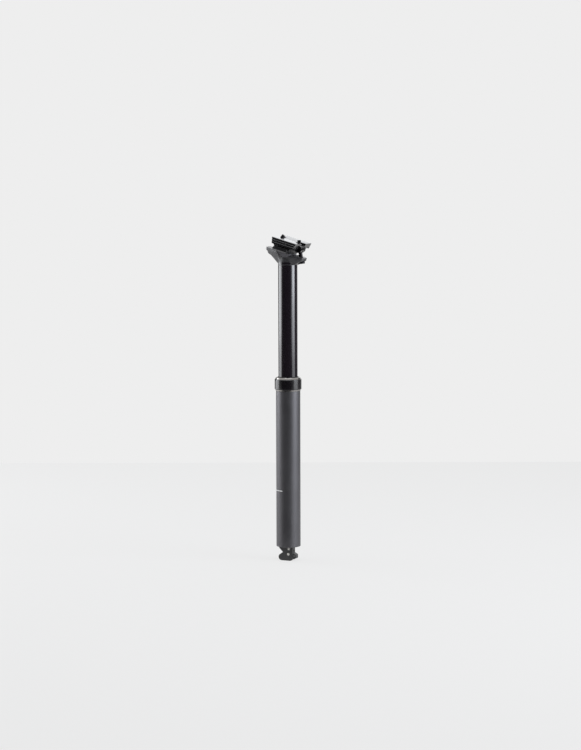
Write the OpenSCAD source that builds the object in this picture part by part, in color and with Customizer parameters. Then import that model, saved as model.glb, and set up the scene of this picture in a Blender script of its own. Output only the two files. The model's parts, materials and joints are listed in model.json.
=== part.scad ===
// Dropper seatpost: a stanchion with a two-bolt saddle clamp slides in an outer tube on a gas cartridge,
// and a lever under the tube opens the cartridge's valve.
// +Z runs up the post, +X points to the front of the bicycle, and z = 0 is the lower end of the outer tube.

/* [Outer post] */
// Outside diameter of the outer tube, which the seat tube of the frame holds
tube_d = 31.6; // [30.9:0.1:34.9]
// Wall thickness of the outer tube
tube_wall = 1.8; // [1.6:0.1:2.2]
// Height of the room under the stanchion at full drop
base_room = 12.4; // [12:0.1:20]
// Height of the seal collar, from its step to its lip
collar_h = 17.4; // [16:0.2:22]
// How far the seal collar stands out from the outer tube
collar_stand = 1.7; // [1.2:0.1:3]
// Length of the outer tube's neck inside the seal collar
neck_l = 10; // [8:0.5:11]

/* [Stanchion] */
// Radial thickness of the bushings that the stanchion slides in, which sets its diameter
bushing_t = 1.5; // [1.2:0.1:2]
// Wall thickness of the stanchion
stanchion_wall = 2; // [1.8:0.1:2.4]
// Travel of the stanchion
travel = 140; // [80:5:170]
// Length of stanchion that stays in the outer tube when it is extended
overlap = 51.6; // [50:0.2:70]
// Room left between the seal collar and the head at full drop
top_gap = 5; // [4:0.5:12]
// Height of the bushing on the lower end of the stanchion
low_bush_h = 14; // [10:1:18]
// Width of a guide key
key_w = 2.4; // [2:0.1:3]
// Length of a guide key
key_l = 12; // [8:1:14]
// Depth of the keyways in the outer tube
key_depth = 0.8; // [0.6:0.1:1]
// Height of the top-out bumper
bumper_h = 5; // [3:0.5:7]

/* [Head] */
// Height of the tilt axis above the top of the stanchion
pivot_h = 24; // [22:0.5:28]
// Offset of the tilt axis to the front
pivot_x = 2; // [0:0.5:5]
// Angle that the head's deck leans to the front
head_tilt = 16; // [8:1:20]
// Length of the head's spigot in the stanchion
spigot_l = 20; // [14:1:21]
// Half width of the head at the middle of its deck
deck_hw = 12.9; // [12.6:0.1:15]
// Half width of the head at its wing tips
tip_hw = 8; // [7.4:0.1:10]
// Thickness of the head's wings at the bolts
wing_t = 3.6; // [3.2:0.1:5]
// How much further the rear wing reaches than the front one
rear_reach = 2.4; // [0:0.1:4]

/* [Saddle clamp] */
// Diameter of a saddle rail
rail_d = 7; // [7:0.1:8]
// Distance between the two saddle rails
rail_spacing = 44; // [43:0.5:47]
// Length of the upper clamp at the rail axis
upper_l = 28.6; // [26:0.2:33]
// Offset of the upper clamp's wings to the front of the tilt axis
upper_x = 1.5; // [0:0.1:2.5]
// Angle that the ends of the upper clamp lean outwards
end_lean = 20; // [0:1:25]
// Length of the lower cradle along the rails
lower_l = 18; // [16:0.5:20]
// Radius of the lower cradle's rocking belly
belly_r = 14; // [13:0.1:15.5]
// Half width of the belly
belly_hw = 12; // [10:0.5:12.4]
// Height of the upper clamp's wings above the rail axis
wing_top = 8.8; // [7:0.1:9.5]
// Gap between the wing lips and the rail axis
lip_gap = 1; // [0.8:0.1:1.6]

/* [Clamp bolts] */
// Diameter of a clamp bolt
bolt_d = 5; // [4:0.5:5]
// Length of a clamp bolt under its head
bolt_len = 27; // [26:1:32]
// Height of a clamp bolt's head
bolt_head_h = 3.6; // [3:0.1:5]
// Angle that a clamp bolt leans from the clamp's upright
bolt_lean = 23; // [18:1:26]
// Distance of a barrel nut from the tilt axis along the rails
nut_x = 15.6; // [15:0.1:17]
// Height of a barrel nut above the rail axis
nut_z = 0.8; // [0.4:0.1:1.4]
// Diameter of a barrel nut
nut_d = 7.4; // [7.2:0.1:8]
// Length of a barrel nut
nut_l = 12; // [10:0.5:13]
// Distance from the barrel nut to the washer's seat in the head
bolt_grip = 14; // [13:0.1:15]
// Radius of the washer's domed face
dome_r = 8; // [7:0.5:10]

/* [Gas cartridge] */
// Diameter of the piston rod
rod_d = 6; // [5.6:0.1:7]
// Diameter of the valve pin that runs through the rod
valve_d = 2.4; // [2:0.1:2.6]
// Wall thickness of the gas cylinder
cyl_wall = 1.2; // [1:0.1:1.6]
// Height of the gland that closes the lower end of the cylinder
gland_h = 12; // [9:0.5:13]
// Height of the piston
piston_h = 8; // [7:0.5:9]
// Height of the floating piston
float_h = 8; // [7:0.5:9]
// Height of the cap that closes the upper end of the cylinder
cap_h = 5; // [4:0.5:6]
// Length of the gas chamber at full drop
gas_min = 8; // [4:0.5:9]

/* [Actuator] */
// Width of the actuator bracket
bracket_w = 14; // [13:0.5:16]
// Width of the release lever
lever_w = 7.8; // [7:0.1:8.4]
// Diameter of the pivot pin and of the bracket pin
pin_d = 3.5; // [3:0.1:3.8]
// Forward offset of the lever's pivot pin
lever_x = 2.7; // [2.4:0.1:3.2]
// Depth of the lever's pivot pin under the outer tube
lever_drop = 10; // [9.8:0.1:10.6]
// Distance from the lever's pivot to the seat of the cable end
hook_arm = 6.6; // [6.2:0.1:7]
// Diameter of the seat of the cable end
cable_end_d = 4.3; // [4.1:0.1:4.6]
// Diameter of the bore that stops the cable housing
housing_d = 5.2; // [5:0.1:5.6]
// Depth of the bore that stops the cable housing
housing_l = 5.5; // [4.5:0.5:6]

/* [Fits] */
// Radial clearance of a sliding or turning fit
run_fit = 0.05; // [0.02:0.01:0.09]
// Radial clearance of a seated piece
seat_fit = 0.04; // [0.02:0.01:0.1]
// Gap between faces that move past each other without a fit
free_gap = 0.25; // [0.2:0.05:0.4]

/* [Hidden] */
$fn = 96;
eps = 0.02;
big = 80;

// Radii of the two tubes
tube_r = tube_d / 2;
bore_r = tube_r - tube_wall;
neck_r = tube_r - tube_wall / 2;
collar_r = tube_r + collar_stand;
post_r = bore_r - bushing_t;
post_bore_r = post_r - stanchion_wall;

// Heights along the post when it is extended
post_z = base_room + travel;
tube_top = post_z + overlap;
neck_top = tube_top + neck_l;
collar_top = tube_top + collar_h;
head_z = collar_top + travel + top_gap;

// Stack on the lower end of the stanchion, and the upper bushing that stops it
low_bush_z = post_z + 1;
low_bush_slit = 1.6;
key_gap = 2;
key_z = low_bush_z + low_bush_h + key_gap;
bumper_z = key_z + key_l + key_gap;
up_bush_z = bumper_z + bumper_h + free_gap;
key_in = 0.9;
key_angles = [90, 210, 330];

// Seal collar
step_h = 1.6;
step_stand = 0.7;
lip_h = 2.4;
edge = 0.6;
collar_ring_h = 2.2;
collar_ring_t = 0.9;
bush_ledge_h = 1.6;
wiper_r = neck_r - 0.5;
wiper_lip = 0.8;

// Base plug and its lug, which carries the actuator bracket
plug_z = 0.8;
plug_top = base_room - 2.9;
plug_ring_z = plug_top - 4.2;
ring_t = 1.2;
ring_h = 2.2;
lug_front = 6.5;
lug_back = 2;
lug_drop = 5.2;

// Cartridge, from the circlip in the stanchion up to the cap
circlip_z = post_z + 1.6;
circlip_h = 1.2;
circlip_in = 0.7;
circlip_t = 1.6;
circlip_gap = 5;
flange_h = 1.2;
cyl_z = circlip_z + circlip_h + flange_h;
cyl_out_r = post_bore_r - 0.3;
cyl_r = cyl_out_r - cyl_wall;
rod_r = rod_d / 2;
rod_bore_r = valve_d / 2 + free_gap;
rod_z = plug_z + 1.7;
rod_nut_h = 3.5;
rod_nut_r = rod_r + 2.8;
rod_in_piston = 5;
gland_lip = 1.5;
piston_gap = 1.5;
piston_z = cyl_z + gland_h + piston_gap;
poppet_h = 1.5;
gas_valve_r = 2.2;
gas_valve_stand = 1.5;
spigot_gap = 1;
cyl_top = head_z - spigot_l - spigot_gap - gas_valve_stand;
cap_z = cyl_top - cap_h;
cap_floor = 1.5;
gas_hole_r = 0.8;
float_room = cap_z - gas_min - float_h - (piston_z + piston_h + travel);
float_rate = pow(rod_r / cyl_r, 2);
float_z = piston_z + piston_h + travel * (1 - float_rate) + float_room;
float_floor = 2.5;
seal_t = 1.2;
seal_h = 2.4;

// Clamp: rails, wings and cradle, in the clamp's own tilted frame
rail_r = rail_d / 2;
rail_y = rail_spacing / 2;
wing_out = rail_y + rail_r + 1.4;
wing_in = rail_y - rail_r - 0.9;
cup_t = 3.2;
tiers = 3;
ledge_w = 0.9;
ledge_drop = 0.4;
dish = 0.8;
meet_z = -lip_gap;
eye_wall = 1.2;
nut_r = nut_d / 2;
eye_r = nut_r + run_fit + eye_wall;
eye_hw = nut_l / 2 + 0.6;
valley_hw = eye_hw + 1.4;
bolt_r = bolt_d / 2;
bolt_swing_room = 1.3;
nut_bolt_room = 0.35;
bolt_head_r = bolt_r + 1.75;
socket_af = 4;
washer_r = bolt_head_r + 0.35;
washer_t = 1.5;
washer_gap = 0.15;
spot_r = washer_r + 0.6;

// Head: deck and wing tips follow the washers' seats
seat_x = nut_x + bolt_grip * sin(bolt_lean);
deck_z = nut_z - bolt_grip * cos(bolt_lean) + wing_t;
tip_r = 3;
tip_x = seat_x + washer_r;
tip_t = 3.4;
shoulder_r = 4;
shoulder_x = 8;
keel_r = post_r - 3.5;
keel_sink = 2.4;

// Actuator: bracket outline, pins and the line of the cable
pin_r = pin_d / 2;
slot_hw = lever_w / 2 + free_gap;
slot_back = -3.5;
bracket_pin_x = lever_x + 0.6;
bracket_pin_z = -2.8;
bracket_front = lever_x + 6.2;
left_front = bracket_pin_x + pin_r + 1.2;
bracket_back = -10.2;
lever_z = -lever_drop;
lobe_x = -6.8;
lobe_z = lever_z - 4.2;
lobe_r = 4.4;
corner_r = 4;
foot_z = lobe_z - lobe_r;
hook_x = lever_x + hook_arm * cos(23);
hook_z = lever_z - hook_arm * sin(23);
cable_slope = atan2(hook_z - lobe_z, hook_x - lobe_x);
wire_r = 0.8;
fin_wall = 0.9;
boss_r = pin_r + 1.85;
nose_r = 1.2;
nose_top = -6.6;
valve_tip = nose_top + 0.1;

// Ring with a plain bore
module ring(r_out, r_in, h) {
    difference() {
        cylinder(r = r_out, h = h);
        translate([0, 0, -eps]) cylinder(r = r_in, h = h + 2 * eps);
    }
}

// Rubber ring of round section that stands at its middle height
module round_ring(r_out, r_in) {
    t = (r_out - r_in) / 2;
    rotate_extrude() translate([r_in + t, 0]) circle(r = t, $fn = 32);
}

// Cylinder along Y, centred on the XZ plane
module cross_cylinder(r, l) {
    rotate([90, 0, 0]) cylinder(r = r, h = l, center = true);
}

// Outline in X and Z, given the thickness w along Y
module side_plate(w) {
    rotate([90, 0, 0]) linear_extrude(w, center = true) children();
}

// Frame of the clamp: origin on the tilt axis, X along the rails
module in_clamp() {
    translate([pivot_x, 0, head_z + pivot_h]) rotate([0, head_tilt, 0]) children();
}

// Frame of a clamp bolt: origin at its barrel nut, Z towards the bolt's head, side 1 front and -1 rear
module on_bolt(side) {
    in_clamp() translate([side * nut_x, 0, nut_z]) rotate([0, side * (180 - bolt_lean), 0]) children();
}

module outer_tube() {
    color("#35353a") difference() {
        union() {
            cylinder(r = tube_r, h = tube_top);
            cylinder(r = neck_r, h = neck_top);
        }
        translate([0, 0, -eps]) cylinder(r = bore_r, h = neck_top + 2 * eps);
        for (a = key_angles) rotate([0, 0, a])
            translate([bore_r - 1, -key_w / 2 - run_fit, plug_top + 1])
                cube([1 + key_depth, key_w + 2 * run_fit, up_bush_z - plug_top - 1]);
    }
}

module seal_collar() {
    color("#1b1b1d") translate([0, 0, tube_top]) difference() {
        rotate_extrude() polygon([
            [0, 0],
            [tube_r + step_stand, 0],
            [tube_r + step_stand, step_h],
            [collar_r - edge, step_h],
            [collar_r, step_h + edge],
            [collar_r, collar_h - lip_h - edge],
            [collar_r - edge, collar_h - lip_h],
            [wiper_r + 1.6, collar_h - edge],
            [wiper_r + 1, collar_h],
            [0, collar_h]
        ]);
        translate([0, 0, -eps]) cylinder(r = neck_r + seat_fit, h = neck_l + eps);
        translate([0, 0, (neck_l - collar_ring_h) / 2])
            cylinder(r = neck_r + collar_ring_t + seat_fit, h = collar_ring_h);
        cylinder(r = post_r + free_gap, h = collar_h);
        translate([0, 0, neck_l + bush_ledge_h]) cylinder(r = wiper_r, h = collar_h);
    }
}

module collar_o_ring() {
    color("#202020") translate([0, 0, tube_top + neck_l / 2])
        round_ring(neck_r + collar_ring_t, neck_r + seat_fit);
}

module wiper_seal() {
    color("#141414") translate([0, 0, neck_top + bush_ledge_h]) rotate_extrude() polygon([
        [post_r + run_fit + 0.5, 0],
        [wiper_r - seat_fit, 0],
        [wiper_r - seat_fit, collar_h - neck_l - bush_ledge_h - 0.4],
        [post_r + 1, collar_h - neck_l - bush_ledge_h - 0.4],
        [post_r + run_fit + 0.3, collar_h - neck_l - bush_ledge_h + wiper_lip],
        [post_r + run_fit, collar_h - neck_l - bush_ledge_h + wiper_lip]
    ]);
}

module upper_bushing() {
    color("#c9c2a6") translate([0, 0, up_bush_z])
        ring(bore_r - seat_fit, post_r + run_fit, neck_top - up_bush_z);
}

module base_plug() {
    color("#2c2c2f") difference() {
        union() {
            translate([0, 0, plug_z]) cylinder(r = bore_r - seat_fit, h = plug_top - plug_z);
            translate([-lug_back, -slot_hw + seat_fit, -lug_drop])
                cube([lug_front + lug_back, 2 * (slot_hw - seat_fit), lug_drop + plug_z + eps]);
        }
        translate([0, 0, plug_ring_z]) ring(bore_r + 1, bore_r - ring_t - seat_fit, ring_h);
        translate([0, 0, rod_z]) cylinder(r = rod_r + seat_fit, h = plug_top);
        translate([0, 0, -lug_drop - eps]) cylinder(r = rod_bore_r, h = plug_top);
        translate([bracket_pin_x, 0, bracket_pin_z]) cross_cylinder(pin_r + seat_fit, bracket_w);
    }
}

module base_plug_o_ring() {
    color("#202020") translate([0, 0, plug_ring_z + ring_h / 2])
        round_ring(bore_r - seat_fit, bore_r - ring_t);
}

module piston_rod() {
    color("silver") difference() {
        translate([0, 0, rod_z]) cylinder(r = rod_r, h = piston_z + rod_in_piston - rod_z);
        cylinder(r = rod_bore_r, h = piston_z + rod_in_piston + eps);
        translate([0, 0, piston_z - 1]) cross_cylinder(valve_d / 3, rod_d + 2);
    }
}

module rod_lock_nut() {
    color("#9a9a9a") translate([0, 0, plug_top]) difference() {
        cylinder(r = rod_nut_r, h = rod_nut_h, $fn = 6);
        translate([0, 0, -eps]) cylinder(r = rod_r + seat_fit, h = rod_nut_h + 2 * eps);
    }
}

module piston() {
    color("#b08d57") translate([0, 0, piston_z]) difference() {
        cylinder(r = cyl_r - run_fit, h = piston_h);
        translate([0, 0, (piston_h - seal_h) / 2]) ring(cyl_r + 1, cyl_r - seal_t - seat_fit, seal_h);
        translate([0, 0, -eps]) cylinder(r = rod_r + seat_fit, h = rod_in_piston + eps);
        cylinder(r = rod_bore_r, h = piston_h + eps);
    }
}

module piston_seal() {
    color("#202020") translate([0, 0, piston_z + (piston_h - seal_h) / 2 + seat_fit])
        ring(cyl_r - run_fit, cyl_r - seal_t, seal_h - 2 * seat_fit);
}

// Points of an arc about c, from angle a0 to a1
function arc(c, r, a0, a1, n = 10) =
    [for (i = [0 : n]) let (a = a0 + (a1 - a0) * i / n) c + r * [cos(a), sin(a)]];

module bracket_outline() {
    polygon(concat(
        [[bracket_back, plug_z], [bracket_front, plug_z]],
        arc([bracket_front - corner_r, foot_z + corner_r], corner_r, 0, -90),
        arc([lobe_x, lobe_z], lobe_r, -90, -245),
        [[slot_back - 1.5, lever_z + 2.4], [bracket_back, -2.4]]
    ));
}

// Bracket of two cheeks round the lever; the left one is shorter, so that the cable end goes in there
module actuator_bracket() {
    color("#242426") difference() {
        side_plate(bracket_w) bracket_outline();
        translate([slot_back, -slot_hw, foot_z - 1]) cube([big, 2 * slot_hw, big]);
        translate([bracket_pin_x, 0, bracket_pin_z]) cross_cylinder(pin_r + seat_fit, bracket_w + 1);
        translate([lever_x, 0, lever_z]) cross_cylinder(pin_r + seat_fit, bracket_w + 1);
        translate([lobe_x, 0, lobe_z]) rotate([0, -90 - cable_slope, 0]) {
            translate([0, 0, lobe_r - housing_l]) cylinder(r = housing_d / 2, h = big);
            translate([0, 0, -lobe_r - 4]) cylinder(r = wire_r, h = big);
        }
        translate([left_front, 0, foot_z - 1]) cube([big, big, big]);
    }
}

module bracket_pin() {
    color("#c4c6c8") translate([bracket_pin_x, 0, bracket_pin_z]) cross_cylinder(pin_r, bracket_w);
}

module lever_pivot_pin() {
    color("#c4c6c8") translate([lever_x, 0, lever_z]) cross_cylinder(pin_r, bracket_w);
}

module lever_outline() {
    fin_r = cable_end_d / 2 + fin_wall;
    fin_top = lever_z + boss_r - fin_wall;
    polygon(concat(
        arc([0, nose_top - nose_r], nose_r, 235, 85),
        [[lever_x + boss_r - fin_wall, fin_top], [hook_x + fin_r, hook_z + fin_r / 2]],
        [[hook_x + fin_r, hook_z - fin_r], [hook_x - fin_r, hook_z - fin_r]],
        arc([lever_x, lever_z], boss_r, -80, -150)
    ));
}

module release_lever() {
    color("#1f1f21") difference() {
        side_plate(lever_w) lever_outline();
        translate([lever_x, 0, lever_z]) cross_cylinder(pin_r + run_fit, lever_w + 1);
        translate([hook_x, 0, hook_z]) cross_cylinder(cable_end_d / 2, lever_w + 1);
        translate([hook_x, 0, hook_z]) rotate([0, -cable_slope, 0])
            translate([-big, -lever_w, -wire_r]) cube([big, lever_w + wire_r, 2 * wire_r]);
    }
}

module valve_pin() {
    poppet_z = piston_z + piston_h + run_fit;
    color("silver") {
        translate([0, 0, valve_tip]) cylinder(r = valve_d / 2, h = poppet_z - valve_tip + eps);
        translate([0, 0, poppet_z]) cylinder(r = rod_bore_r + 0.8, h = poppet_h);
    }
}

module stanchion() {
    color("#0c0c0e") difference() {
        translate([0, 0, post_z]) cylinder(r = post_r, h = head_z - post_z);
        translate([0, 0, post_z - eps]) cylinder(r = post_bore_r, h = head_z - post_z + 2 * eps);
        translate([0, 0, circlip_z]) cylinder(r = post_bore_r + circlip_in, h = circlip_h);
        for (a = key_angles) rotate([0, 0, a])
            translate([post_r - key_in, -key_w / 2 - seat_fit, key_z - seat_fit])
                cube([key_in + 1, key_w + 2 * seat_fit, key_l + 2 * seat_fit]);
    }
}

// Forged keel under the deck: four wing corners and four deck shoulders drawn down to the neck
module head_keel() {
    hull() {
        in_clamp() for (sx = [-1, 1], sy = [-1, 1]) {
            reach = sx > 0 ? 0 : rear_reach;
            translate([sx * (tip_x + reach - tip_r), sy * (tip_hw - tip_r), deck_z - tip_t])
                cylinder(r = tip_r, h = tip_t, $fn = 32);
            translate([sx * shoulder_x, sy * (deck_hw - shoulder_r), deck_z - tip_t])
                cylinder(r = shoulder_r, h = tip_t, $fn = 32);
        }
        translate([0, 0, head_z - keel_sink]) cylinder(r = keel_r, h = 0.5, $fn = 32);
    }
}

module head() {
    color("#1a1a1c") {
        difference() {
            union() {
                head_keel();
                difference() {
                    translate([0, 0, head_z]) cylinder(r = post_r, h = pivot_h);
                    in_clamp() translate([-big / 2, -big / 2, deck_z]) cube(big);
                }
            }
            translate([-big / 2, -big / 2, head_z - big]) cube(big);
            in_clamp() cross_cylinder(belly_r + free_gap, 3 * deck_hw);
            for (side = [-1, 1]) on_bolt(side) {
                cylinder(r = bolt_r + 0.7, h = big / 2);
                intersection() {
                    translate([0, 0, bolt_grip + dome_r]) sphere(r = dome_r + washer_gap);
                    cylinder(r = spot_r, h = bolt_grip + dome_r);
                }
                translate([0, 0, bolt_grip + washer_t]) cylinder(r = spot_r, h = big / 2);
            }
        }
        translate([0, 0, head_z - spigot_l]) cylinder(r = post_bore_r - seat_fit, h = spigot_l + 1);
    }
}

module lower_bushing() {
    color("#c9c2a6") translate([0, 0, low_bush_z]) difference() {
        ring(bore_r - run_fit, post_r + seat_fit, low_bush_h);
        translate([0, -low_bush_slit / 2, -1]) cube([big, low_bush_slit, low_bush_h + 2]);
    }
}

module guide_keys() {
    color("#b5923c") for (a = key_angles) rotate([0, 0, a])
        translate([post_r - key_in + seat_fit, -key_w / 2, key_z])
            cube([bore_r + key_depth - run_fit - post_r + key_in - seat_fit, key_w, key_l]);
}

module top_out_bumper() {
    color("#2a2a2a") translate([0, 0, bumper_z]) ring(bore_r - 0.3, post_r + seat_fit, bumper_h);
}

module gas_cylinder() {
    color("#8d9093") translate([0, 0, cyl_z]) ring(cyl_out_r, cyl_r, cyl_top - cyl_z);
}

module cylinder_gland() {
    color("#6d7074") difference() {
        union() {
            translate([0, 0, cyl_z - flange_h]) cylinder(r = cyl_out_r, h = flange_h);
            translate([0, 0, cyl_z - eps]) cylinder(r = cyl_r - seat_fit, h = gland_h + eps);
        }
        translate([0, 0, cyl_z - flange_h - eps]) cylinder(r = rod_r + run_fit, h = big);
        translate([0, 0, cyl_z + gland_h - seal_h - gland_lip])
            cylinder(r = rod_r + seal_t + seat_fit, h = seal_h);
    }
}

module rod_seal() {
    color("#202020") translate([0, 0, cyl_z + gland_h - seal_h - gland_lip + seat_fit])
        ring(rod_r + seal_t, rod_r + run_fit, seal_h - 2 * seat_fit);
}

module cartridge_circlip() {
    color("#55585c") translate([0, 0, circlip_z + seat_fit]) difference() {
        ring(post_bore_r + circlip_in - seat_fit, post_bore_r - circlip_t, circlip_h - 2 * seat_fit);
        translate([0, -circlip_gap / 2, -1]) cube([big, circlip_gap, circlip_h + 2]);
    }
}

module cylinder_cap() {
    color("#6d7074") translate([0, 0, cap_z]) difference() {
        cylinder(r = cyl_r - seat_fit, h = cap_h);
        translate([0, 0, cap_floor]) cylinder(r = gas_valve_r + seat_fit, h = cap_h);
        translate([0, 0, -eps]) cylinder(r = gas_hole_r, h = cap_h);
    }
}

module gas_valve() {
    color("#b08d57") translate([0, 0, cap_z + cap_floor])
        cylinder(r = gas_valve_r, h = cap_h - cap_floor + gas_valve_stand);
}

module floating_piston() {
    color("#a7a9ac") translate([0, 0, float_z]) difference() {
        cylinder(r = cyl_r - run_fit, h = float_h);
        translate([0, 0, (float_h - seal_h) / 2]) ring(cyl_r + 1, cyl_r - seal_t - seat_fit, seal_h);
        translate([0, 0, float_floor]) cylinder(r = cyl_r - seal_t - 2, h = float_h);
    }
}

module floating_piston_seal() {
    color("#202020") translate([0, 0, float_z + (float_h - seal_h) / 2 + seat_fit])
        ring(cyl_r - run_fit, cyl_r - seal_t, seal_h - 2 * seat_fit);
}

// Section of the lower cradle across the rails: two rail cups joined by a web
module cradle_section() {
    cup_r = rail_r + cup_t;
    for (s = [-1, 1]) intersection() {
        translate([s * rail_y, 0]) circle(r = cup_r);
        translate([s * rail_y, -cup_r / 2 - lip_gap]) square([rail_d + 2, cup_r], center = true);
    }
    translate([-rail_y + rail_r, -cup_r + 1]) square([rail_spacing - rail_d, cup_r - 1 + meet_z]);
}

module lower_cradle() {
    color("#18181a") in_clamp() difference() {
        union() {
            rotate([90, 0, 90]) linear_extrude(lower_l, center = true) cradle_section();
            intersection() {
                cross_cylinder(belly_r, 2 * belly_hw);
                translate([-lower_l / 2 + 1, -big / 2, -belly_r - 1]) cube([lower_l - 2, big, belly_r - 2]);
            }
        }
        for (s = [-1, 1]) {
            translate([0, s * rail_y, 0]) rotate([0, 90, 0]) cylinder(r = rail_r, h = big, center = true);
            translate([s * (big / 2 + nut_x - eye_r - free_gap), 0, 0])
                cube([big, 2 * valley_hw, 2 * (eye_r - nut_z + 1.2)], center = true);
        }
    }
}

// Section of the upper clamp across the rails: wings with stepped flanks, and a bridge between them
module upper_section() {
    tier_h = (wing_top - lip_gap) / tiers;
    half = concat(
        [[0, wing_top - dish], [wing_in, wing_top], [wing_out - tiers * ledge_w, wing_top]],
        [for (i = [tiers - 1 : -1 : 0]) each [
            [wing_out - i * ledge_w, lip_gap + (i + 1) * tier_h - ledge_drop],
            [wing_out - i * ledge_w, lip_gap + i * tier_h]
        ]],
        [[wing_in, lip_gap], [wing_in - 2.6, meet_z], [0, meet_z]]
    );
    polygon(half);
    mirror([1, 0]) polygon(half);
}

// Side of the upper clamp, with ends that lean outwards
module upper_side() {
    function end_at(side, z) = [upper_x + side * (upper_l / 2 + z * tan(end_lean)), z];
    polygon([end_at(-1, meet_z), end_at(1, meet_z), end_at(1, wing_top), end_at(-1, wing_top)]);
}

module upper_clamp() {
    color("#151517") in_clamp() difference() {
        union() {
            difference() {
                intersection() {
                    rotate([90, 0, 90]) linear_extrude(big, center = true) upper_section();
                    side_plate(2 * wing_out) upper_side();
                }
                for (s = [-1, 1])
                    translate([s * (big / 2 + nut_x - eye_r - 1), 0, 0])
                        cube([big, 2 * valley_hw, big], center = true);
            }
            for (s = [-1, 1]) {
                translate([s * nut_x, 0, nut_z]) cross_cylinder(eye_r, 2 * eye_hw);
                translate([s * (nut_x - eye_r / 2 - 1), 0, (nut_z + eye_r + meet_z - 1) / 2])
                    cube([eye_r + 2, 2 * eye_hw, nut_z + eye_r - meet_z - 1], center = true);
            }
        }
        for (s = [-1, 1]) {
            translate([0, s * rail_y, 0]) rotate([0, 90, 0]) cylinder(r = rail_r, h = big, center = true);
            translate([s * nut_x, 0, nut_z]) {
                cross_cylinder(nut_r + run_fit, 2 * eye_hw + 1);
                rotate([0, s * -bolt_lean, 0]) cylinder(r = bolt_r + bolt_swing_room, h = big, center = true);
            }
        }
    }
}

// Barrel nut across the clamp, drilled for its bolt
module barrel_nut(side) {
    color("#2b2b2e") difference() {
        in_clamp() translate([side * nut_x, 0, nut_z]) cross_cylinder(nut_r, nut_l);
        on_bolt(side) cylinder(r = bolt_r + nut_bolt_room, h = 2 * nut_d, center = true);
    }
}

module front_barrel_nut() { barrel_nut(1); }
module rear_barrel_nut() { barrel_nut(-1); }

// Socket head bolt, from its tip above the nut to its head under the wing
module clamp_bolt(side) {
    under_head = bolt_grip + washer_t;
    color("#131314") on_bolt(side) difference() {
        union() {
            translate([0, 0, under_head - bolt_len]) cylinder(r = bolt_r, h = bolt_len + 1);
            translate([0, 0, under_head]) cylinder(r = bolt_head_r, h = bolt_head_h);
        }
        translate([0, 0, under_head + bolt_head_h * 0.4])
            cylinder(r = socket_af / 2 / cos(30), h = bolt_head_h, $fn = 6);
    }
}

module front_bolt() { clamp_bolt(1); }
module rear_bolt() { clamp_bolt(-1); }

// Domed washer that lets the bolt rock in the head
module clamp_washer(side) {
    color("#3a3a3d") on_bolt(side) difference() {
        intersection() {
            translate([0, 0, bolt_grip + dome_r]) sphere(r = dome_r);
            translate([0, 0, bolt_grip - 1]) cylinder(r = washer_r, h = washer_t + 1);
        }
        translate([0, 0, bolt_grip - 2]) cylinder(r = bolt_r + seat_fit, h = washer_t + 4);
    }
}

module front_washer() { clamp_washer(1); }
module rear_washer() { clamp_washer(-1); }

outer_tube();
seal_collar();
collar_o_ring();
wiper_seal();
upper_bushing();
base_plug();
base_plug_o_ring();
piston_rod();
rod_lock_nut();
piston();
piston_seal();
actuator_bracket();
bracket_pin();
lever_pivot_pin();
release_lever();
valve_pin();
stanchion();
head();
lower_bushing();
guide_keys();
top_out_bumper();
gas_cylinder();
cylinder_gland();
rod_seal();
cartridge_circlip();
cylinder_cap();
gas_valve();
floating_piston();
floating_piston_seal();
lower_cradle();
upper_clamp();
front_barrel_nut();
rear_barrel_nut();
front_bolt();
front_washer();
rear_bolt();
rear_washer();
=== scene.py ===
# Looks of a dropper seatpost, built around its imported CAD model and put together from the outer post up.
# Everything is in metres in the CAD frame: +Z runs up the post and +X points to the front of the bicycle.
import json
import math

import bmesh
import bpy
from mathutils import Matrix, Quaternion, Vector

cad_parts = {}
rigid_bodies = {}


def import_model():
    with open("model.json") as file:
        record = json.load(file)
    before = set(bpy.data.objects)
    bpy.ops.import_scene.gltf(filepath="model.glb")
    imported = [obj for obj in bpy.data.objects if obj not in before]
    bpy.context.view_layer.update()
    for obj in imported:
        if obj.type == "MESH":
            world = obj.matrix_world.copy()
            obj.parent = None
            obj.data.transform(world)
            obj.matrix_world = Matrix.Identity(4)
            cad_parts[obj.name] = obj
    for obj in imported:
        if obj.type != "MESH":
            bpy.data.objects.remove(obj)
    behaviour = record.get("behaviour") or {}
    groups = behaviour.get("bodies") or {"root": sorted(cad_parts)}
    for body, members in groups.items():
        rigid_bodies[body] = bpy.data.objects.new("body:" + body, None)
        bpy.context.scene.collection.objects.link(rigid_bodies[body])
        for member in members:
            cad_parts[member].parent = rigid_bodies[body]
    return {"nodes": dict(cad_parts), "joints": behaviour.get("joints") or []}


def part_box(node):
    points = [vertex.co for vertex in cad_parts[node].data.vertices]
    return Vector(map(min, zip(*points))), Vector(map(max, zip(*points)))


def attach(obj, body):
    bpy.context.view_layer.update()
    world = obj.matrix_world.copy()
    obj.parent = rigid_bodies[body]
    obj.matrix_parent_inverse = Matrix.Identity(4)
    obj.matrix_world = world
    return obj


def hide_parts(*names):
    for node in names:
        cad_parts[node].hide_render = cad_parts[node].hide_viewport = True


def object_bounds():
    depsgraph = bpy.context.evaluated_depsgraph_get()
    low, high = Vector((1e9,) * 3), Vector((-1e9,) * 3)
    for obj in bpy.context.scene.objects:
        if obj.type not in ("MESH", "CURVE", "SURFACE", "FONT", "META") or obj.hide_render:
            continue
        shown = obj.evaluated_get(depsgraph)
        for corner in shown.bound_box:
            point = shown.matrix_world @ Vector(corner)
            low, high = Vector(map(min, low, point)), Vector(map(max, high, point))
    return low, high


for leftover in list(bpy.data.objects):
    bpy.data.objects.remove(leftover)
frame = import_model()
cad_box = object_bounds()


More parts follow.
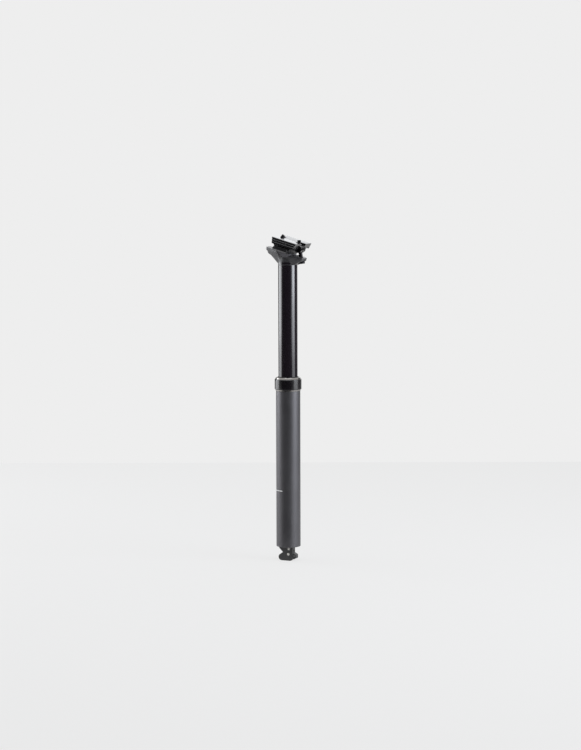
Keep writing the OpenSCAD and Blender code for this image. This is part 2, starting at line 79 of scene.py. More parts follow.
# Studio: a camera a little above the post's middle, turned 24 degrees from the side towards the front.
# A long lens from 2.4 m keeps the post's edges nearly parallel, as they are in the photograph.
CAMERA_AZIMUTH = math.radians(24.0)
CAMERA_PITCH = math.radians(5.705)
CAMERA_ROLL = math.radians(-0.149)
CAMERA_DISTANCE = 2.4101
CAMERA_LENS_MM = 89.36
SENSOR_WIDTH_MM = 36
FARTHEST_SEEN = 50
AIM_HEIGHT = 0.22395
AIM_RIGHT = 0.00312

level_to_camera = Vector((math.sin(CAMERA_AZIMUTH), -math.cos(CAMERA_AZIMUTH), 0))
to_camera = level_to_camera * math.cos(CAMERA_PITCH) + Vector((0, 0, math.sin(CAMERA_PITCH)))
to_right = Vector((math.cos(CAMERA_AZIMUTH), math.sin(CAMERA_AZIMUTH), 0))
lens = bpy.data.cameras.new("camera")
lens.lens = CAMERA_LENS_MM
lens.sensor_width = SENSOR_WIDTH_MM
lens.clip_end = FARTHEST_SEEN
camera = bpy.data.objects.new("camera", lens)
camera.location = Vector((0, 0, AIM_HEIGHT)) + to_right * AIM_RIGHT + to_camera * CAMERA_DISTANCE
camera.rotation_mode = "QUATERNION"
camera.rotation_quaternion = to_camera.to_track_quat("Z", "Y") @ Quaternion((0, 0, 1), CAMERA_ROLL)
bpy.context.scene.collection.objects.link(camera)
bpy.context.scene.camera = camera
bpy.context.scene.view_settings.view_transform = "Standard"


# Backdrop: pale grey paper all round, seen by the camera and in every polished face.
# It gives the post only part of its light, so black finishes stay black.
BACKDROP = "#eeeeee"
BACKDROP_LIGHT = 0.32


def linear(code):
    """An sRGB hex colour as linear RGBA."""
    parts = [int(code[i:i + 2], 16) / 255 for i in (1, 3, 5)]
    return [p / 12.92 if p <= 0.04045 else ((p + 0.055) / 1.055) ** 2.4 for p in parts] + [1]


def add(tree, kind, inputs=None, **settings):
    """One node with its settings; each input is a value or another node's output."""
    made = tree.nodes.new(kind)
    for name, value in settings.items():
        setattr(made, name, value)
    for socket, value in (inputs or {}).items():
        if isinstance(value, bpy.types.NodeSocket):
            tree.links.new(value, made.inputs[socket])
        else:
            made.inputs[socket].default_value = value
    return made


def seen_directly(tree):
    """An output that is 1 for rays from the camera and from glossy or clear faces, and 0 for other light."""
    path = add(tree, "ShaderNodeLightPath")
    seen = path.outputs["Is Camera Ray"]
    for ray in ("Is Glossy Ray", "Is Transmission Ray"):
        seen = add(tree, "ShaderNodeMath", {0: seen, 1: path.outputs[ray]}, operation="MAXIMUM").outputs[0]
    return seen


surround = bpy.data.worlds.new("pale_surround")
bpy.context.scene.world = surround
surround.use_nodes = True
tree = surround.node_tree
tree.nodes.clear()
level = add(tree, "ShaderNodeMapRange", {"Value": seen_directly(tree), "To Min": BACKDROP_LIGHT})
paper = add(tree, "ShaderNodeBackground", {"Color": linear(BACKDROP), "Strength": level.outputs[0]})
add(tree, "ShaderNodeOutputWorld", {"Surface": paper.outputs[0]})


# Floor: a sheet of the same paper under the lever, with the post's soft shadow on it.
# Its far edge is the faint line that the photograph shows behind the post.
MM = 0.001
FLOOR_HALF_WIDTH = 2.2
FLOOR_FRONT = 0.9
FLOOR_BACK = 0.87
FLOOR_GAP = 0.2
FLOOR_TONE = "#f0f0f0"
FLOOR_SHARE_LIT = 0.16
PAPER_MOTTLE = 17.0
PAPER_SHADES = (0.78, 0.82)
floor_z = cad_box[0][2] - FLOOR_GAP * MM


def bare_material(name):
    """A new material that holds only its output node: the material, its node tree and that node."""
    made = bpy.data.materials.new(name)
    made.use_nodes = True
    made.node_tree.nodes.clear()
    return made, made.node_tree, add(made.node_tree, "ShaderNodeOutputMaterial")


floor_mesh = bmesh.new()
floor_middle = Vector((0, 0, floor_z))
floor_mesh.faces.new([
    floor_mesh.verts.new(floor_middle + to_right * side * FLOOR_HALF_WIDTH + level_to_camera * reach)
    for side, reach in ((-1, FLOOR_FRONT), (1, FLOOR_FRONT), (1, -FLOOR_BACK), (-1, -FLOOR_BACK))])
floor = bpy.data.objects.new("floor", bpy.data.meshes.new("floor"))
floor_mesh.to_mesh(floor.data)
bpy.context.scene.collection.objects.link(floor)
floor_paper, tree, output = bare_material("floor_paper")
share = add(tree, "ShaderNodeMath", {0: seen_directly(tree), 1: 1 - FLOOR_SHARE_LIT}, operation="MULTIPLY")
place = add(tree, "ShaderNodeTexCoord")
fibre = add(tree, "ShaderNodeTexNoise", {
    "Vector": place.outputs["Object"], "Scale": 1 / (PAPER_MOTTLE * MM), "Detail": 4.0})
shade = add(tree, "ShaderNodeMapRange", {
    "Value": fibre.outputs["Fac"], "To Min": PAPER_SHADES[0], "To Max": PAPER_SHADES[1]})
lit = add(tree, "ShaderNodeBsdfDiffuse", {"Color": shade.outputs[0]})
even = add(tree, "ShaderNodeEmission", {"Color": linear(FLOOR_TONE)})
mixed = add(tree, "ShaderNodeMixShader", {0: share.outputs[0], 1: lit.outputs[0], 2: even.outputs[0]})
tree.links.new(mixed.outputs[0], output.inputs["Surface"])
floor.data.materials.append(floor_paper)


# Light: a softbox on each side, dimmer at its foot and fringed on its near edge, one overhead, and a bright
# wall behind. Black cards round the post and on the floor before it are seen only in polished faces,
# and give those their dark middle and dark rims.
LEFT_LIGHT = "#f8fbff"
RIGHT_LIGHT = "#f1f7ff"
OVERHEAD_HEIGHT = 1.75
OVERHEAD_SIZE = 1.0
OVERHEAD_RADIANCE = 2.5
CARD_TONE = "#2c2c2e"
CARD_RADIUS = 1.75
CARD_TOP = 1.1
CARD_BELOW_FLOOR = 0.35
HIGH_CARD_FOOT = 0.03
NEAR_CARD_RADII = (0.08, 0.3)
FAR_CARD_RADII = (0.5, 1.75)
FLOOR_CARD_LIFT = 1.0
CARD_STEPS = 24


def around(turn, radius, height):
    """A point round the post, with turn in degrees from the camera's direction towards the right."""
    angle = -math.pi / 2 + CAMERA_AZIMUTH + math.radians(turn)
    return Vector((radius * math.cos(angle), radius * math.sin(angle), height))


def softbox(name, colour, radiance, place, facing, width, height):
    """A rectangular lamp of that colour and radiance, seen in polished faces but not by the camera."""
    lamp = bpy.data.lights.new(name, "AREA")
    lamp.shape = "RECTANGLE"
    lamp.size = width
    lamp.size_y = height
    lamp.color = linear(colour)[:3]
    lamp.energy = radiance * math.pi * width * height
    made = bpy.data.objects.new(name, lamp)
    made.location = place
    made.rotation_mode = "QUATERNION"
    made.rotation_quaternion = facing.to_track_quat("Z", "Y")
    made.visible_camera = False
    bpy.context.scene.collection.objects.link(made)


# Each upright lamp's name, colour, turn in degrees, distance, width, foot, top and radiance.
for name, colour, turn, distance, width, foot, top, radiance in (
        ("left_softbox", LEFT_LIGHT, -108, 1.3, 1.0, 0.16, 0.95, 3.9),
        ("left_softbox_foot", LEFT_LIGHT, -108, 1.3, 1.0, 0.0, 0.16, 2.1),
        ("left_softbox_fringe", LEFT_LIGHT, -80, 1.3, 0.3, 0.16, 0.95, 0.7),
        ("right_softbox_fringe", RIGHT_LIGHT, 45, 1.3, 0.3, 0.16, 0.95, 1.5),
        ("right_softbox", RIGHT_LIGHT, 68.5, 1.3, 0.75, 0.25, 0.95, 7.1),
        ("right_softbox_skirt", RIGHT_LIGHT, 68.5, 1.3, 0.75, 0.15, 0.25, 3.2),
        ("right_softbox_foot", RIGHT_LIGHT, 70, 1.3, 0.84, 0.0, 0.15, 0.9),
        ("back_wall_glow", LEFT_LIGHT, 178, 1.8, 1.3, 0.55, 1.3, 1.0)):
    softbox(name, colour, radiance, around(turn, distance, (foot + top) / 2), around(turn, 1, 0),
            width, top - foot)
straight_up = Vector((0, 0, 1))
softbox("overhead_softbox", LEFT_LIGHT, OVERHEAD_RADIANCE, straight_up * OVERHEAD_HEIGHT, straight_up,
        OVERHEAD_SIZE, OVERHEAD_SIZE)

card_black, tree, output = bare_material("card_black")
dull = add(tree, "ShaderNodeEmission", {"Color": linear(CARD_TONE)})
tree.links.new(dull.outputs[0], output.inputs["Surface"])
card_z = floor_z + FLOOR_CARD_LIFT * MM
wall = ((CARD_RADIUS, floor_z - CARD_BELOW_FLOOR), (CARD_RADIUS, CARD_TOP))
high_wall = ((CARD_RADIUS, HIGH_CARD_FOOT), (CARD_RADIUS, CARD_TOP))
near_floor = [(radius, card_z) for radius in NEAR_CARD_RADII]
far_floor = [(radius, card_z) for radius in FAR_CARD_RADII]
# Each card's name, its first and last turn in degrees, and the radius and height of its two rims.
for side, first, last, rims in (
        ("front", -80, 49, wall),
        ("back", 93, 140, wall),
        ("back_left", -160, -131, high_wall),
        ("near_floor", -60, 25, near_floor),
        ("far_floor", -60, 25, far_floor)):
    card_mesh = bmesh.new()
    strips = []
    for step in range(CARD_STEPS + 1):
        turn = first + (last - first) * step / CARD_STEPS
        strips.append([card_mesh.verts.new(around(turn, radius, height)) for radius, height in rims])
    for (a, b), (c, d) in zip(strips, strips[1:]):
        card_mesh.faces.new((a, c, d, b))
    card = bpy.data.objects.new("card_" + side, bpy.data.meshes.new("card_" + side))
    card_mesh.to_mesh(card.data)
    card.data.materials.append(card_black)
    card.visible_camera = False
    card.visible_diffuse = False
    card.visible_shadow = False
    card.visible_transmission = False
    bpy.context.scene.collection.objects.link(card)


# Outer tube: drawn aluminium tube, 31.6 mm across, bead blasted and anodised anthracite.
# Its lower edge is turned round, and the bicycle's seat tube clamps it at least up to the printed line.
ALUMINA_IOR = 1.7
WEAR_REACH = 0.45
WEAR_TURN = (0.985, 0.86)
PATCH_TINT = 0.16
PATCH_GLOSS = 0.14
RELIEF_DEPTH = 0.05
SHARP_EDGE = math.radians(32)
WELD_REACH = 0.001


def dyed_anodising(name, colour, rubbed, roughness, grit_mm, bump, patch_mm=16.0, lines_mm=0.0, along="Z",
                   metal=0.0):
    """Anodised aluminium: a dyed layer of clear alumina over blasted, turned or drawn metal.

    The grit or tool lines roughen it, handling leaves patches of other gloss, and its edges are rubbed
    lighter. A thin dye lets a share of the metal show through.
    """
    made, tree, output = bare_material(name)
    place = add(tree, "ShaderNodeTexCoord")
    grit = add(tree, "ShaderNodeTexNoise", {
        "Vector": place.outputs["Object"], "Scale": 1 / (grit_mm * MM), "Detail": 3.0, "Roughness": 0.6})
    patch = add(tree, "ShaderNodeTexNoise", {
        "Vector": place.outputs["Object"], "Scale": 1 / (patch_mm * MM), "Detail": 4.0, "Roughness": 0.55})
    relief = grit.outputs["Fac"]
    if lines_mm:
        # A wave's bands repeat every pi / 10 at a scale of 1.
        lines = add(tree, "ShaderNodeTexWave", {
            "Vector": place.outputs["Object"], "Scale": math.pi / 10 / (lines_mm * MM), "Distortion": 0.6,
            "Detail": 2.0}, bands_direction=along)
        lines_and_grit = add(tree, "ShaderNodeMath", {0: lines.outputs["Fac"], 1: relief}, operation="ADD")
        relief = lines_and_grit.outputs[0]
    soft_normal = add(tree, "ShaderNodeBevel", {"Radius": WEAR_REACH * MM}, samples=4)
    true_normal = add(tree, "ShaderNodeNewGeometry")
    turn = add(tree, "ShaderNodeVectorMath", {
        0: soft_normal.outputs[0], 1: true_normal.outputs["Normal"]}, operation="DOT_PRODUCT")
    edge = add(tree, "ShaderNodeMapRange", {
        "Value": turn.outputs["Value"], "From Min": WEAR_TURN[0], "From Max": WEAR_TURN[1]})
    worn = add(tree, "ShaderNodeMath", {0: edge.outputs[0], 1: patch.outputs["Fac"]}, operation="MULTIPLY")
    tint = add(tree, "ShaderNodeMapRange", {
        "Value": patch.outputs["Fac"], "From Min": 0.25, "From Max": 0.75, "To Max": PATCH_TINT})
    share = add(tree, "ShaderNodeMath", {0: tint.outputs[0], 1: worn.outputs[0]}, operation="ADD",
                use_clamp=True)
    # A mix node's two colours are its sockets 6 and 7, and their mixture is its output 2.
    dye = add(tree, "ShaderNodeMix", {0: share.outputs[0], 6: linear(colour), 7: linear(rubbed)},
              data_type="RGBA")
    gloss = add(tree, "ShaderNodeMapRange", {
        "Value": patch.outputs["Fac"], "From Min": 0.2, "From Max": 0.8,
        "To Min": roughness * (1 - PATCH_GLOSS), "To Max": roughness * (1 + PATCH_GLOSS)})
    height = add(tree, "ShaderNodeBump", {"Height": relief, "Strength": bump, "Distance": RELIEF_DEPTH * MM})
    shader = add(tree, "ShaderNodeBsdfPrincipled", {
        "Base Color": dye.outputs[2], "Metallic": metal, "Roughness": gloss.outputs[0],
        "Normal": height.outputs[0]})
    if not metal:
        shader.inputs["IOR"].default_value = ALUMINA_IOR
    tree.links.new(shader.outputs[0], output.inputs["Surface"])
    return made


def dress(material, *names, rounding=0.0):
    """Puts a material on CAD nodes, and rounds their sharp edges by that many millimetres."""
    for name in names:
        node = frame["nodes"][name]
        node.data.materials.clear()
        node.data.materials.append(material)
        if rounding:
            weld = node.modifiers.new("joined_faces", "WELD")
            weld.merge_threshold = WELD_REACH * MM
            edge = node.modifiers.new("rounded_edges", "BEVEL")
            edge.width = rounding * MM
            edge.segments = 2
            edge.limit_method = "ANGLE"
            edge.angle_limit = SHARP_EDGE
            smooth = node.modifiers.new("even_shading", "WEIGHTED_NORMAL")
            smooth.keep_sharp = False


# Blasted, so the softboxes spread into broad soft bands, with some of the metal showing through a thin dye.
# The pits are about 0.1 mm across and are drawn at 0.5 mm, as finer ones would not show.
tube_anthracite = dyed_anodising("anthracite_anodised_blasted_aluminium", colour="#605f62", rubbed="#7b7a7d",
                                 roughness=0.45, grit_mm=0.5, bump=0.2, metal=0.82)
dress(tube_anthracite, "outer_tube", rounding=0.5)


# Minimum-insertion line: one band of white pad-printed ink round the rear half of the tube.
# It stands a few hundredths of a millimetre proud.
LINE_HEIGHT = 74.0
LINE_WIDTH = 1.1
LINE_ENDS = (96, 264)
LINE_STEPS = 96
LINE_FROM_TUBE = 0.01
LINE_THICKNESS = 0.03
INK_WHITE = "#f2f2f0"
INK_THIN = "#e4e4e2"
INK_SPECKLE = 0.4
INK_RELIEF = 0.02
tube_low, tube_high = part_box("outer_tube")
tube_radius = (tube_high.x - tube_low.x) / 2 / MM


def shown(name, mesh, material, body, smooth=True):
    """A modelled piece on its body, from a bmesh in metres."""
    bmesh.ops.recalc_face_normals(mesh, faces=mesh.faces)
    data = bpy.data.meshes.new(name)
    mesh.to_mesh(data)
    mesh.free()
    if smooth:
        data.shade_smooth()
    data.materials.append(material)
    made = bpy.data.objects.new(name, data)
    bpy.context.scene.collection.objects.link(made)
    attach(made, body)
    return made


# Flat white with the faint speckle of a thin print, drawn at 0.4 mm.
ink, tree, output = bare_material("white_pad_printed_ink")
place = add(tree, "ShaderNodeTexCoord")
speckle = add(tree, "ShaderNodeTexNoise", {
    "Vector": place.outputs["Object"], "Scale": 1 / (INK_SPECKLE * MM), "Detail": 3.0})
cover = add(tree, "ShaderNodeMix", {
    0: speckle.outputs["Fac"], 6: linear(INK_THIN), 7: linear(INK_WHITE)}, data_type="RGBA")
height = add(tree, "ShaderNodeBump", {
    "Height": speckle.outputs["Fac"], "Strength": 0.2, "Distance": INK_RELIEF * MM})
shader = add(tree, "ShaderNodeBsdfPrincipled", {
    "Base Color": cover.outputs[2], "Roughness": 0.55, "Normal": height.outputs[0]})
tree.links.new(shader.outputs[0], output.inputs["Surface"])

band = bmesh.new()
corners = ((LINE_FROM_TUBE, -0.5), (LINE_FROM_TUBE + LINE_THICKNESS, -0.5),
           (LINE_FROM_TUBE + LINE_THICKNESS, 0.5), (LINE_FROM_TUBE, 0.5))
stations = []
for step in range(LINE_STEPS + 1):
    angle = math.radians(LINE_ENDS[0] + (LINE_ENDS[1] - LINE_ENDS[0]) * step / LINE_STEPS)
    stations.append([band.verts.new((
        (tube_radius + out) * MM * math.cos(angle),
        (tube_radius + out) * MM * math.sin(angle),
        (LINE_HEIGHT + rise * LINE_WIDTH) * MM)) for out, rise in corners])
for one, two in zip(stations, stations[1:]):
    for k in range(4):
        band.faces.new((one[k], one[(k + 1) % 4], two[(k + 1) % 4], two[k]))
band.faces.new(stations[0])
band.faces.new(stations[-1])
shown("insertion_line", band, ink, "outer_post", smooth=False)


# Bushings, guide keys and bumper: moulded acetal, sized to run dry on the anodised bores.
# They sit inside the tube, so only their edges ever show, at the collar's mouth.
BLOOM_SIZE = 9.0
BLOOM_GLOSS = 0.1
PEBBLE_DEPTH = 0.05


def moulded(name, colour, bloomed, roughness, pebble_mm, specular=0.5):
    """Moulded polymer or rubber: a dull skin with the fine pebble of its mould."""
    made, tree, output = bare_material(name)
    place = add(tree, "ShaderNodeTexCoord")
    pebble = add(tree, "ShaderNodeTexNoise", {
        "Vector": place.outputs["Object"], "Scale": 1 / (pebble_mm * MM), "Detail": 4.0})
    bloom = add(tree, "ShaderNodeTexNoise", {
        "Vector": place.outputs["Object"], "Scale": 1 / (BLOOM_SIZE * MM), "Detail": 3.0})
    tone = add(tree, "ShaderNodeMix", {
        0: bloom.outputs["Fac"], 6: linear(colour), 7: linear(bloomed)}, data_type="RGBA")
    gloss = add(tree, "ShaderNodeMapRange", {
        "Value": bloom.outputs["Fac"],
        "To Min": roughness * (1 - BLOOM_GLOSS), "To Max": roughness * (1 + BLOOM_GLOSS)})
    height = add(tree, "ShaderNodeBump", {
        "Height": pebble.outputs["Fac"], "Strength": 0.3, "Distance": PEBBLE_DEPTH * MM})
    shader = add(tree, "ShaderNodeBsdfPrincipled", {
        "Base Color": tone.outputs[2], "Roughness": gloss.outputs[0], "Specular IOR Level": specular,
        "Normal": height.outputs[0]})
    tree.links.new(shader.outputs[0], output.inputs["Surface"])
    return made


# Waxy and dull, with the mould's pebble drawn at 0.6 mm to show.
acetal = moulded("moulded_grey_acetal", colour="#6f6c66", bloomed="#827f78", roughness=0.45, pebble_mm=0.6)
dress(acetal, "upper_bushing", "lower_bushing", "guide_keys", "top_out_bumper", rounding=0.15)


# Seals: black nitrile rubber rings in grooves, and the two-lipped wiper pressed into the collar's mouth.
# Rubber is nearly black and dull, with a faint grey bloom.
nitrile = moulded("moulded_black_nitrile_rubber", colour="#131214", bloomed="#1f1e20",
                  roughness=0.68, pebble_mm=0.4, specular=0.35)
dress(nitrile, "collar_o_ring", "base_plug_o_ring", "wiper_seal", "piston_seal", "rod_seal",
      "floating_piston_seal")


# Seal collar: turned aluminium, screwed on the tube's neck, anodised black over fine tool lines.
# It has a clear gloss, broken by the lines. Those are about 0.1 mm apart and are drawn at 0.4 mm to show.
collar_black = dyed_anodising("black_anodised_turned_aluminium", colour="#151215", rubbed="#2b2a2d",
                              roughness=0.19, grit_mm=0.6, bump=0.04, lines_mm=0.4)
dress(collar_black, "seal_collar", rounding=0.25)


# Collar's highlight rings: its lip and the step under it are painted as pale bare metal, a painted highlight
# for the light that each ring catches. Each shows as a pale ring beside the black.
LIP_HEIGHT = 2.0
STEP_HEIGHT = 1.4
HIGHLIGHT_RING_GREY = "#9b9895"
collar_low, collar_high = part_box("seal_collar")


def refinish(material, zone, colour, roughness, bare=False):
    """Gives a finish another look inside a zone, an output that is 1 there and 0 elsewhere."""
    tree = material.node_tree
    shader = tree.nodes["Principled BSDF"]
    tone = add(tree, "ShaderNodeMix", {
        0: zone, 6: shader.inputs["Base Color"].links[0].from_socket, 7: linear(colour)}, data_type="RGBA")
    # For numbers, a mix node has its sockets 2 and 3, and its output 0.
    gloss = add(tree, "ShaderNodeMix", {
        0: zone, 2: shader.inputs["Roughness"].links[0].from_socket, 3: roughness})
    tree.links.new(tone.outputs[2], shader.inputs["Base Color"])
    tree.links.new(gloss.outputs[0], shader.inputs["Roughness"])
    if bare:
        tree.links.new(zone, shader.inputs["Metallic"])


tree = collar_black.node_tree
place = add(tree, "ShaderNodeTexCoord")
axes = add(tree, "ShaderNodeSeparateXYZ", {0: place.outputs["Object"]})
lip = add(tree, "ShaderNodeMath", {0: axes.outputs["Z"], 1: collar_high.z - LIP_HEIGHT * MM},
          operation="GREATER_THAN")
step_ring = add(tree, "ShaderNodeMath", {0: axes.outputs["Z"], 1: collar_low.z + STEP_HEIGHT * MM},
                operation="LESS_THAN")
# The two rings take the painted highlight: pale bare metal in place of the black dye.
painted_highlight_rings = add(tree, "ShaderNodeMath", {0: lip.outputs[0], 1: step_ring.outputs[0]}, operation="MAXIMUM")
refinish(collar_black, painted_highlight_rings.outputs[0], HIGHLIGHT_RING_GREY, roughness=0.19, bare=True)


# Stanchion: ground aluminium tube, hard anodised black and polished, on which the seals run.
# It is the glossiest piece, and mirrors the softboxes as two crisp bands with a trace of grinding.
STANCHION_DYE = "#1d171d"
stanchion_black = dyed_anodising("black_hard_anodised_polished_aluminium", colour=STANCHION_DYE,
                                 rubbed="#2a242a", roughness=0.13, grit_mm=0.8, bump=0.003, patch_mm=30.0)
dress(stanchion_black, "stanchion", rounding=0.2)


# Head and lower cradle: forged aluminium, blasted and anodised black, the head bonded in the stanchion.
# The head is satin and the cradle darker. Both have forging's fine even pebble, drawn at 0.7 mm to show,
# and edges rubbed to grey.
satin_black = dyed_anodising("satin_anodised_blasted_forging", colour="#373638", rubbed="#626164",
                             roughness=0.36, grit_mm=0.7, bump=0.12)
dress(satin_black, "head", rounding=0.35)
forged_black = dyed_anodising("black_anodised_forged_aluminium", colour="#131214", rubbed="#3e3d40",
                              roughness=0.3, grit_mm=0.7, bump=0.06)
dress(forged_black, "lower_cradle", rounding=0.35)


# Head's neck: turned to the stanchion's width after forging, then anodised and polished with it.
# It is as black as the stanchion and nearly as glossy, between the bead at its foot and the wings.
NECK_HEIGHT = 4.2
NECK_FADE = 1.0
BEAD_HEIGHT = 0.8
neck_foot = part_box("stanchion")[1].z
neck_top = neck_foot + NECK_HEIGHT * MM
tree = satin_black.node_tree
place = add(tree, "ShaderNodeTexCoord")
axes = add(tree, "ShaderNodeSeparateXYZ", {0: place.outputs["Object"]})
below_wings = add(tree, "ShaderNodeMapRange", {
    "Value": axes.outputs["Z"], "From Min": neck_top, "From Max": neck_top - NECK_FADE * MM})
above_bead = add(tree, "ShaderNodeMath", {0: axes.outputs["Z"], 1: neck_foot + BEAD_HEIGHT * MM},
                 operation="GREATER_THAN")
neck = add(tree, "ShaderNodeMath", {0: below_wings.outputs[0], 1: above_bead.outputs[0]},
           operation="MULTIPLY")
refinish(satin_black, neck.outputs[0], STANCHION_DYE, roughness=0.2)


# Cradle's belly: painted light, a lighter and duller grey that stands in for light on its shaded lower
# faces.
# It ends in a line along the rails, above which the cradle is black.
BELLY_DEPTH = 8.0
BELLY_PAINTED_LIGHT_GREY = "#68666a"
joint_at = {joint["name"]: Vector(joint["pos_m"]) for joint in frame["joints"] if "pos_m" in joint}
across = Vector((0, 1, 0))
rail_forward = (joint_at["front_nut_turn"] - joint_at["rear_nut_turn"]).normalized()
rail_up = rail_forward.cross(across)
belly_top = joint_at["saddle_tilt"].dot(rail_up) - BELLY_DEPTH * MM
tree = forged_black.node_tree
place = add(tree, "ShaderNodeTexCoord")
level = add(tree, "ShaderNodeVectorMath", {0: place.outputs["Object"], 1: rail_up}, operation="DOT_PRODUCT")
# Below this line the belly gets the painted light: a lighter, duller grey.
painted_light_belly = add(tree, "ShaderNodeMath", {0: level.outputs["Value"], 1: belly_top}, operation="LESS_THAN")
refinish(forged_black, painted_light_belly.outputs[0], BELLY_PAINTED_LIGHT_GREY, roughness=0.4)


# Upper clamp: extruded and milled aluminium, polished and anodised black, with three ledges along each rail.
# Its faces are bright enough to mirror the studio, and the extrusion's die lines run along the rails.
# Those are finer than 0.2 mm and are drawn at 0.5 mm to show.
clamp_black = dyed_anodising("black_anodised_polished_extrusion", colour="#0e0d0f", rubbed="#343336",
                             roughness=0.2, grit_mm=0.6, bump=0.08, lines_mm=0.5, along="Y")
dress(clamp_black, "upper_clamp", rounding=0.2)


# Steel pieces: ground rod and pins in bright stainless steel, and nuts and washers plated black.
# Bright steel mirrors the studio, and the plating is a thin dark glossy film. Grinding and turning leave
# fine lines on both, which are drawn about 0.3 mm apart to show.
FILM_SIZE = 4.0
FILM_GLOSS = 0.25
LINE_DEPTH = 0.03


def bare_metal(name, colour, dulled, roughness, lines_mm, along):
    """Uncoated or plated metal with the lines that turning, drawing or grinding leaves."""
    made, tree, output = bare_material(name)
    place = add(tree, "ShaderNodeTexCoord")
    lines = add(tree, "ShaderNodeTexWave", {
        "Vector": place.outputs["Object"], "Scale": math.pi / 10 / (lines_mm * MM), "Distortion": 1.2,
        "Detail": 3.0}, bands_direction=along)
    film = add(tree, "ShaderNodeTexNoise", {
        "Vector": place.outputs["Object"], "Scale": 1 / (FILM_SIZE * MM), "Detail": 4.0})
    tone = add(tree, "ShaderNodeMix", {
        0: film.outputs["Fac"], 6: linear(dulled), 7: linear(colour)}, data_type="RGBA")
    gloss = add(tree, "ShaderNodeMapRange", {
        "Value": film.outputs["Fac"],
        "To Min": roughness * (1 - FILM_GLOSS), "To Max": roughness * (1 + FILM_GLOSS)})
    height = add(tree, "ShaderNodeBump", {
        "Height": lines.outputs["Fac"], "Strength": 0.12, "Distance": LINE_DEPTH * MM})
    shader = add(tree, "ShaderNodeBsdfPrincipled", {
        "Base Color": tone.outputs[2], "Metallic": 1.0, "Roughness": gloss.outputs[0],
        "Normal": height.outputs[0]})
    tree.links.new(shader.outputs[0], output.inputs["Surface"])
    return made


bright_steel = bare_metal("ground_stainless_steel", colour="#c9c7c3", dulled="#b5b3af",
                          roughness=0.24, lines_mm=0.3, along="Y")
dress(bright_steel, "piston_rod", "valve_pin", "cartridge_circlip", rounding=0.15)
dress(bright_steel, "bracket_pin", "lever_pivot_pin", rounding=0.5)
plated_steel = bare_metal("black_zinc_plated_steel", colour="#2b2a2c", dulled="#1e1d1f",
                          roughness=0.26, lines_mm=0.35, along="Y")
dress(plated_steel, "front_barrel_nut", "rear_barrel_nut", "front_washer", "rear_washer", "rod_lock_nut",
      rounding=0.15)


# Gas cartridge: drawn aluminium cylinder with turned gland, cap and pistons, and a brass filling valve.
# It sits inside the stanchion and shows only when the post is taken apart, as plain bright metal.
cartridge_metal = bare_metal("drawn_natural_aluminium", colour="#b9bbbd", dulled="#a6a8aa",
                             roughness=0.33, lines_mm=0.4, along="Z")
dress(cartridge_metal, "gas_cylinder", "cylinder_gland", "cylinder_cap", "piston", "floating_piston",
      rounding=0.15)
brass = bare_metal("turned_brass", colour="#b8924a", dulled="#a07d3e",
                   roughness=0.25, lines_mm=0.3, along="Z")
dress(brass, "gas_valve", rounding=0.1)


# Base plug, actuator bracket and release lever: milled aluminium, the plug screwed into the tube's foot.
# The anodising is dull black over the cutter's fine lines, which are drawn 0.6 mm apart to show.
milled_black = dyed_anodising("black_anodised_milled_aluminium", colour="#151416", rubbed="#3a393c",
                              roughness=0.44, grit_mm=0.5, bump=0.25, lines_mm=0.6, along="X")
dress(milled_black, "base_plug", "actuator_bracket", "release_lever", rounding=0.2)


# Clamp bolts: M5 socket screws in black zinc plated steel, each with its rolled thread in a barrel nut.
# It leans out from there through a slot in the clamp, the head's wing and a domed washer to its cap head.
BOLT_GRIP = 14.0
WASHER_THICKNESS = 1.5
BOLT_LENGTH = 27.0
BOLT_RADIUS = 2.5
BOLT_HEAD_RADIUS = 4.25
BOLT_HEAD_HEIGHT = 3.6
SOCKET_ACROSS = 4.0
SOCKET_DEPTH = 2.2
SOCKET_CHAMFER = 0.15
THREAD_PITCH = 0.8
THREAD_DEPTH = 0.43
THREAD_LENGTH = 17.0
RINGS_PER_TURN = 8
TURNS_TO_FULL_DEPTH = 1.5
TURNS_TO_POINT = 0.8
KNURLS = 36
KNURL_DEPTH = 0.09
ROUND_STEPS = 144
ON_AXIS = 0.001


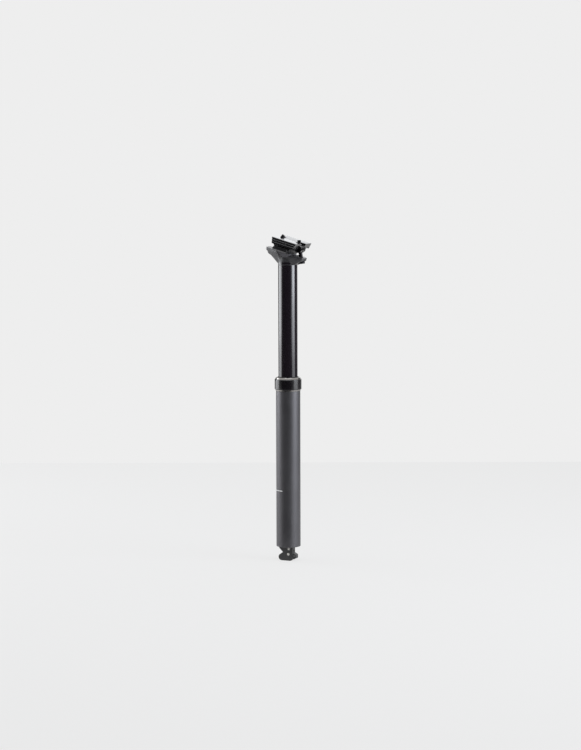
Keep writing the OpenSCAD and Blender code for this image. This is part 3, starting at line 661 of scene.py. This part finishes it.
def bolt_mesh():
    """A socket screw on the Z axis in millimetres, with its head's underside at z = 0 and its point up."""
    crown = -BOLT_HEAD_HEIGHT
    rim = BOLT_HEAD_RADIUS
    core = BOLT_RADIUS - THREAD_DEPTH
    thread_foot = BOLT_LENGTH - THREAD_LENGTH

    def plain(radius):
        return lambda angle: radius

    def hexagon(angle):
        return SOCKET_ACROSS / 2 / math.cos((angle % (math.pi / 3)) - math.pi / 6)

    def knurled(angle):
        return rim - KNURL_DEPTH + KNURL_DEPTH * math.cos(KNURLS * angle)

    # The outline as heights and radii: the socket, the head's rounded edges and knurled side, and the shank.
    rows = [(crown + SOCKET_DEPTH, plain(ON_AXIS)),
            (crown + SOCKET_DEPTH, hexagon),
            (crown + SOCKET_CHAMFER, hexagon),
            (crown, lambda angle: hexagon(angle) + SOCKET_CHAMFER),
            (crown, plain(rim - 0.55)),
            (crown + 0.12, plain(rim - 0.3)),
            (crown + 0.45, knurled),
            (-0.4, knurled),
            (-0.2, plain(rim - 0.25)),
            (0.0, plain(rim - 0.4)),
            (0.0, plain(BOLT_RADIUS + 0.25)),
            (0.3, plain(BOLT_RADIUS)),
            (thread_foot, plain(BOLT_RADIUS))]
    count = int(THREAD_LENGTH / THREAD_PITCH * RINGS_PER_TURN)
    for k in range(1, count):
        height = thread_foot + THREAD_LENGTH * k / count
        turns_done = k / RINGS_PER_TURN
        turns_left = (count - k) / RINGS_PER_TURN
        fade = min(1, turns_done / TURNS_TO_FULL_DEPTH, turns_left / TURNS_TO_POINT)

        def threaded(angle, height=height, fade=fade):
            phase = (height / THREAD_PITCH - angle / (2 * math.pi)) % 1
            return BOLT_RADIUS - THREAD_DEPTH * fade * (1 - abs(2 * phase - 1))
        rows.append((height, threaded))
    rows += [(BOLT_LENGTH - 0.25, plain(core)),
             (BOLT_LENGTH, plain(core - 0.3)),
             (BOLT_LENGTH, plain(ON_AXIS))]
    mesh = bmesh.new()
    rings = []
    for height, radius in rows:
        ring = []
        for step in range(ROUND_STEPS):
            angle = 2 * math.pi * step / ROUND_STEPS
            reach = radius(angle)
            ring.append(mesh.verts.new((reach * math.cos(angle), reach * math.sin(angle), height)))
        rings.append(ring)
    for one, two in zip(rings, rings[1:]):
        for k in range(ROUND_STEPS):
            mesh.faces.new((one[k], one[(k + 1) % ROUND_STEPS], two[(k + 1) % ROUND_STEPS], two[k]))
    mesh.faces.new(list(reversed(rings[0])))
    mesh.faces.new(rings[-1])
    bmesh.ops.remove_doubles(mesh, verts=mesh.verts, dist=ON_AXIS / 2)
    return mesh


for end in ("front", "rear"):
    nut = joint_at[end + "_nut_turn"]
    upward = (nut - joint_at[end + "_bolt_rock"]).normalized()
    under_head = nut - upward * (BOLT_GRIP + WASHER_THICKNESS) * MM
    turned = Matrix((across.cross(upward), across, upward)).transposed().to_4x4()
    bolt = bolt_mesh()
    bmesh.ops.transform(bolt, matrix=Matrix.Scale(MM, 4), verts=bolt.verts)
    bmesh.ops.transform(bolt, matrix=Matrix.Translation(under_head) @ turned, verts=bolt.verts)
    screw = shown(end + "_clamp_screw", bolt, plated_steel, end + "_clamp_bolt")
    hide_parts(end + "_bolt")
